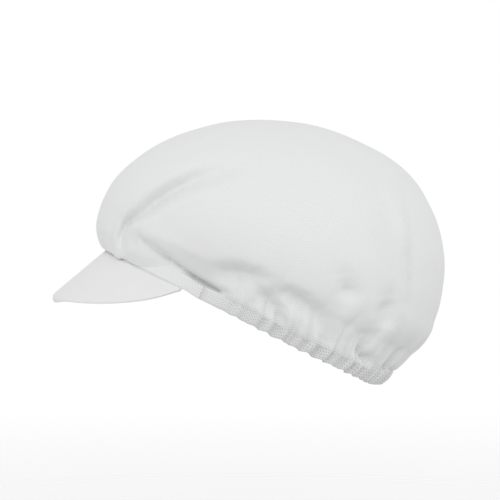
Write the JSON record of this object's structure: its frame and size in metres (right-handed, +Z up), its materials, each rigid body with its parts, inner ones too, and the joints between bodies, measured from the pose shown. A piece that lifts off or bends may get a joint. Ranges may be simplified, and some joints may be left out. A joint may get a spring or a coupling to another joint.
{
  "type": "mesh peaked cap",
  "caption": "Light white net cap with a puffed crown, a band over the forehead, a gathered elastic hem round the back and a short sloping peak, as worn for food handling.",
  "frame": {"origin": "middle of the head opening, in the plane of the rim", "axes": "+Z up as worn, -Y the way the peak points, +X the wearer's left; the rim's plane slopes down towards the nape"},
  "size_m": [0.2142, 0.2829, 0.1896],
  "materials": {
    "net": "white knitted net with small regular holes, matt",
    "doubled_net": "white net, doubled and stitched flat, matt",
    "gathered_net": "white net folded into a casing and drawn in by elastic, matt",
    "peak_cloth": "white close plain weave over a thin stiff sheet, matt"
  },
  "bodies": {
    "root": {"crown": "net", "front_band": "doubled_net", "elastic_hem": "gathered_net", "peak": "peak_cloth"}
  },
  "joints": []
}
